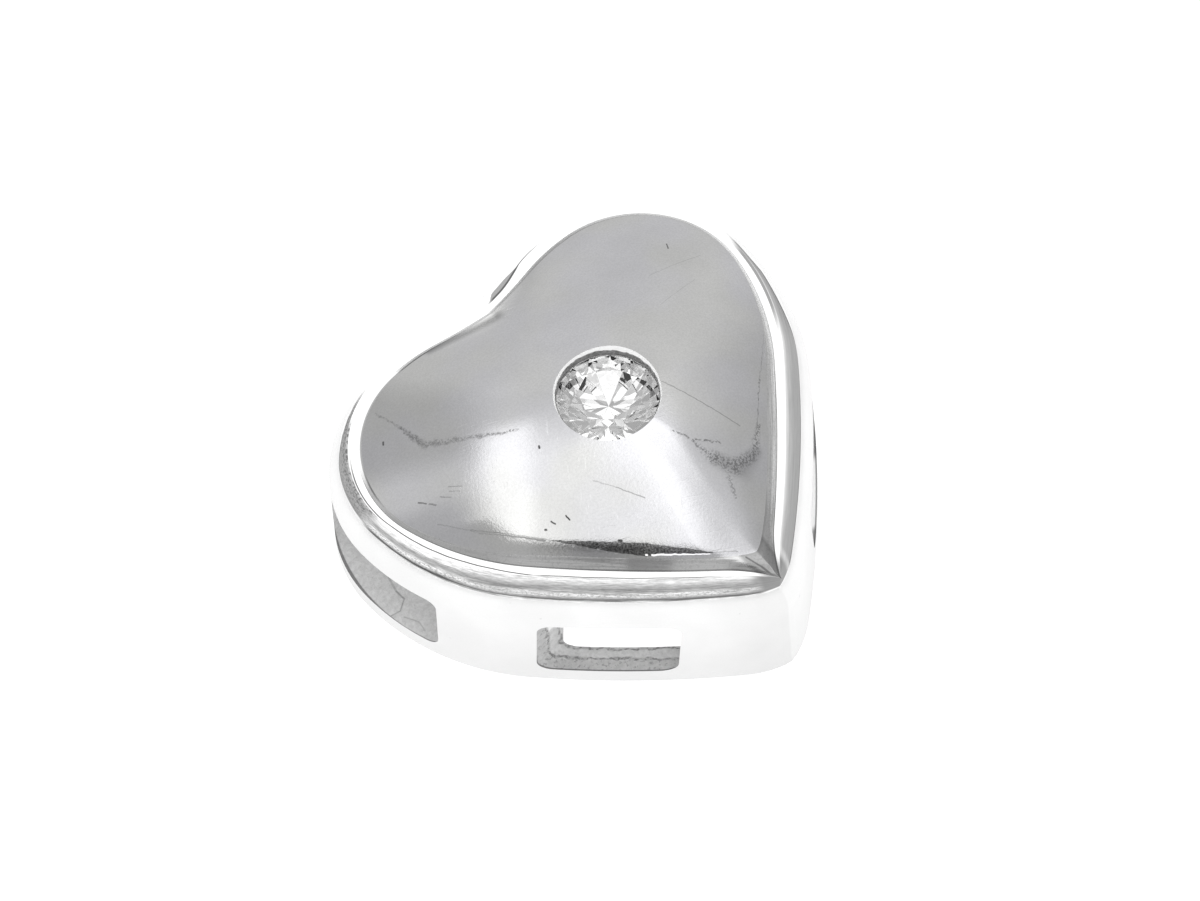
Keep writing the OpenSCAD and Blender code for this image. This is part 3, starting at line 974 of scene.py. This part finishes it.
def wall_depth(place, y, width):
    """How far inside the wall's outer face a place lies, at the slot from y on."""
    outline = moved(MOULDING_HALF, wall_d(SLOT_Z))[:SLOT_COLUMNS]
    spots = [min(outline, key=lambda q: abs(q[1] - y - width * t)) for t in (0.0, 0.5, 1.0)]
    centre, radius = circle_through(spots)
    px, py, pz = parts_of(place)
    dx, dy = abs(px) - centre[0], py - centre[1]
    return radius - computed("SQRT", dx * dx + dy * dy)


# Painted shade lines along creases on the left lobe slot's face
SLOT_CREASES = [
    ((-6.50, 2.63), (-6.70, 1.93), 0.05, 0.4), ((-6.70, 1.93), (-6.70, 1.58), 0.04, 0.7),
    ((-6.70, 1.58), (-7.03, 1.37), 0.03, 0.6), ((-7.03, 1.37), (-7.32, 1.43), 0.03, 0.5),
    ((-7.08, 1.15), (-6.88, 0.74), 0.03, 0.4), ((-6.88, 0.74), (-6.94, 0.41), 0.03, 0.4)]
# Depths of the two ridges that run along the flank slots' faces, drawn as painted shade lines
SLOT_RIDGES = (0.38, 0.70)


def slot_metal():
    """Rough cast faces of the slots: a dark line along the outer edge as a painted reflection, a grainy band
    inside it, painted shade lines along a few creases and two ridges, and painted light and shade on the
    flank slots."""
    material, shader, place = metal("rough cast slot")
    x, y, z = parts_of(place)
    at_lobe = ramp(y, -1.6, -1.4)
    at_flank = 1.0 - at_lobe
    depth = mixed(at_lobe, wall_depth(place, FLANK_SLOT_Y, FLANK_SLOT_W),
                  wall_depth(place, LOBE_SLOT_Y, LOBE_SLOT_W))
    mottle = noise(place, 7.0, 5.0, 0.7)
    outer = ramp(depth, 0.40, 0.28) * at_flank
    base = spread(mottle, 0.48, 0.60) * mixed(outer, 1.0, 0.82)
    base = mixed(grain(place, 10.0, 0.56) * mixed(outer, 0.15, 0.6), base, 0.2)
    uneven = depth + spread(noise(place, 3.0, 4.0), -0.05, 0.05)
    # Painted shade lines along the two ridges
    ridges = highest(*[ramp(abs(uneven - at), 0.06, 0.01) for at in SLOT_RIDGES])
    ridges = ridges * ramp(mottle, 0.42, 0.56, 0.3, 1.0) * at_flank
    # Painted reflection along the outer edge, with the painted shade lines of the ridges and creases
    line = highest(ramp(depth, 0.06, 0.03), highest(ridges, marks(place, SLOT_CREASES)))
    # Painted light in the middle of the right flank slot's face, and painted shade at its ends
    pale = ramp(y, -4.98, -4.78) * ramp(y, -3.1, -3.4)
    base = mixed(ramp(x, 0.0, 1.0) * at_flank, base, mixed(pale, 0.28, 0.9))
    base = mixed(line * 0.75, base, 0.08)
    # Painted light: the inner half of the flank slot's upper end is painted white
    bright = ramp(depth, 0.40, 0.44) * ramp(z, 2.15, 2.3) * ramp(y, -2.9, -2.8) * at_flank
    matt(shader, mixed(bright, base, 0.85), spread(mottle, 0.45, 0.6))
    bumped(shader, mottle, 0.02)
    return material


def seat_metal():
    """Bright-cut edge painted white as a painted highlight, a lip under it darkened as painted shade and
    painted lighter through the stone, and the seat below.
    """
    material, shader, place = metal("cut seat")
    first = next(n for n, (finish, ring) in enumerate(RINGS) if finish == SEAT)
    cut_end, lip_end = ACROSS[first + 1:first + 3]
    uv, u, v = surface(place.tree)
    uneven = v + spread(noise(place, 6.0, 4.0), -0.015, 0.015)
    # Painted highlight: the bright cut is white
    below_cut = ramp(uneven, cut_end - 0.065, cut_end - 0.045)
    below_lip = ramp(v, lip_end - 0.01, lip_end + 0.01)
    mottle = noise(place, 9.0, 4.0, 0.7)
    # Painted shade: the lip is dark, painted lighter where seen through the stone
    dark = mixed(through_stone(place.tree), spread(mottle, 0.14, 0.30), 0.45)
    matt(shader, mixed(below_cut, 1.0, mixed(below_lip, dark, 0.9)), spread(mottle, 0.35, 0.5))
    lit_through_stone(shader, spread(mottle, 0.22, 0.55))
    return material


# Camera, at the photograph's viewing angle
AZIMUTH, ELEVATION, ROLL = radians(-39.25), radians(59.61), radians(-4.4)
CAMERA_DISTANCE = 92.6
LENS, SENSOR, PHOTO_W_PX = 100, 36, 1200
FOCAL_PX = LENS / SENSOR * PHOTO_W_PX
AIM = Vector((0, STONE_Y, LEDGE_Z))
AIM_RIGHT_PX, AIM_UP_PX = 9.8, 27.6
TOWARDS_CAMERA = Vector((sin(AZIMUTH), -cos(AZIMUTH), 0))
TO_RIGHT = Vector((cos(AZIMUTH), sin(AZIMUTH), 0))


def photo_camera():
    """Camera that looks at the stone's axis at the ledge's height, a little off centre."""
    back = TOWARDS_CAMERA * cos(ELEVATION) + Vector((0, 0, sin(ELEVATION)))
    down = -back.cross(TO_RIGHT)
    right = cos(ROLL) * TO_RIGHT - sin(ROLL) * down
    up = -(sin(ROLL) * TO_RIGHT + cos(ROLL) * down)
    turned = (FOCAL_PX * back + AIM_RIGHT_PX * right + AIM_UP_PX * up).normalized()
    right = (right - right.dot(turned) * turned).normalized()
    up = turned.cross(right)
    data = bpy.data.cameras.new("camera")
    data.lens, data.sensor_width = LENS, SENSOR
    data.clip_start, data.clip_end = 0.001, 10
    camera = bpy.data.objects.new("camera", data)
    bpy.context.collection.objects.link(camera)
    place = (AIM + back * CAMERA_DISTANCE) * MM
    axes = Matrix((right, up, turned)).transposed().to_4x4()
    camera.matrix_world = Matrix.Translation(place) @ axes
    bpy.context.scene.camera = camera


def studio_light():
    """Soft light tent round the piece: grey cloth, a bright panel overhead between two
    strip lamps, and a dark opening for the camera. Matt surfaces get even white light.
    A direction's x is its part to the camera's right, and its y its part towards the
    camera, both level."""
    world = bpy.data.worlds.new("light tent")
    world.use_nodes = True
    bpy.context.scene.world = world
    tree = world.node_tree
    tree.nodes.clear()
    ray = source(tree, "TexCoord", "Generated")
    x = vector("DOT_PRODUCT", ray, TO_RIGHT, "Value")
    y = vector("DOT_PRODUCT", ray, TOWARDS_CAMERA, "Value")

    cloth = ramp(y, -1.0, -0.65, 0.52, 0.57)
    cloth = mixed(ramp(x, 0.45, 0.95), cloth, 0.39)
    left_cloth = ramp(abs(y + 0.05), 0.35, 0.05, 0.40, 0.54)
    cloth = mixed(ramp(x, -0.35, -0.55), cloth, left_cloth)
    paler_part = ramp(y, -0.12, 0.1) * ramp(x, 0.1, 0.25) * ramp(x, 0.52, 0.40)
    cloth = mixed(paler_part, cloth, 0.62)
    # The panel and the lamps end in front at a line that runs back on the left
    front = highest(x * 1.85 + 1.1735, 0.34)
    front = lower(0.68, lower(x * 0.64 + 0.7808, front))
    ends = ramp(y - front, 0.012, -0.012)
    ahead = mixed(ramp(y, 0.80, 0.88), ramp(x, -0.6, -0.1, 0.38, 0.42), 0.52)
    cloth = mixed(ends, ahead, cloth)

    panel_edge = lower(y * -0.22 + 0.40, y * -0.50 + 0.40)
    panel = ramp(x, -0.57, -0.38) * ramp(x - panel_edge, 0.08, -0.08) * ramp(y, -0.62, 0.05) * ends
    left_axis = highest(y - 0.1, 0.0) * 0.15 - 0.372
    left_lamp = ramp(abs(x - left_axis), 0.13, 0.03) * ramp(y, -0.46, -0.26) * ends
    lamp_start = lower(y + 0.25, 0.0) * -1.4 - 0.06
    lamp_end = lower(y * -0.22 + 0.36, y * -0.50 + 0.365)
    right_lamp = (ramp(x - lamp_start, -0.03, 0.035) * ramp(x - lamp_end, 0.06, -0.12)
                  * ramp(y, -0.52, -0.37) * ends)
    light = mixed(panel, cloth, 0.87)
    light = mixed(left_lamp, light, 1.10)
    light = mixed(right_lamp, light, 1.12)

    side = x + 0.15
    away = length(made("CombineXYZ", {0: side * 0.7, 1: y - 0.68}))
    opening = highest(ramp(away, 0.055, 0.025), ramp(abs(side), 0.08, 0.03) * ramp(y, 0.65, 0.70) * 0.6)
    light = mixed(opening, light, 0.15)
    # Through the stone the light falls off to the front and to the sides
    away = length(made("CombineXYZ", {0: x, 1: y + 0.2}))
    light = mixed(through_stone(tree) * 0.75, light, ramp(away, 0.30, 0.64, 1.4, 0.45))
    even = highest(source(tree, "LightPath", "Is Camera Ray"), source(tree, "LightPath", "Is Diffuse Ray"))
    light = mixed(even, light, 1.35)
    put(tree, "OutputWorld", {"Surface": made("Background", {"Color": light})})


# The light table, in metres: its side, and how far it lies below the rim
TABLE_SIDE, TABLE_DROP = 1.6, 0.00002


def light_table():
    """Plain white light table; in reflections it ends in the grey cloth a little way off."""
    nothing_selected()
    bpy.ops.mesh.primitive_plane_add(size=TABLE_SIDE, location=(0, 0, -TABLE_DROP))
    floor = bpy.context.object
    floor.name = "floor"
    material, tree, shader = new_material("white light table")
    place = source(tree, "TexCoord", "Object")
    far = ramp(length(place), 0.035, 0.07) * source(tree, "LightPath", "Is Glossy Ray")
    glow = mixed(far, 1.05, 0.42) * spread(noise(place, 300.0), 0.995, 1.005)
    set_inputs(shader, {"Base Color": (0.12, 0.12, 0.12, 1), "Roughness": 0.8, "Specular IOR Level": 0.0,
                        "Emission Color": grey(glow), "Emission Strength": 1.0})
    floor.data.materials.append(material)


def heart_body():
    """The silver heart with its slots cut and its finishes."""
    body = lofted_body()
    for name, y, width in (("lobe_cutter", LOBE_SLOT_Y, LOBE_SLOT_W),
                           ("flank_cutter", FLANK_SLOT_Y, FLANK_SLOT_W)):
        cutter = strap_channel_cutter(name, y, width)
        only(body)
        modifier = body.modifiers.new(name, "BOOLEAN")
        modifier.object, modifier.operation, modifier.solver = cutter, "DIFFERENCE", "EXACT"
        bpy.ops.object.modifier_apply(modifier=name)
        bpy.data.objects.remove(cutter)
    for finish in (dome_metal, bevel_metal, ledge_silver, moulding_metal, wall_silver, slot_metal,
                   inside_silver, seat_metal):
        body.data.materials.append(finish())
    only(body)
    bpy.ops.object.shade_smooth_by_angle(angle=SHARP_TURN)
    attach(body, "root")
    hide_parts("heart_body")


def clear_stone():
    """Glass on the stone's own solid."""
    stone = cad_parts["stone"]
    material, tree, shader = new_material("clear cut stone")
    faint = noise(place_mm(tree), 1.5)
    set_inputs(shader, {"Base Color": grey(spread(faint, 0.985, 1.0)), "Roughness": 0.0, "IOR": 2.0,
                        "Transmission Weight": 1.0})
    for slot in stone.material_slots:
        slot.material = material


photo_camera()
studio_light()
light_table()
heart_body()
clear_stone()
bpy.context.scene.view_settings.view_transform = "Standard"
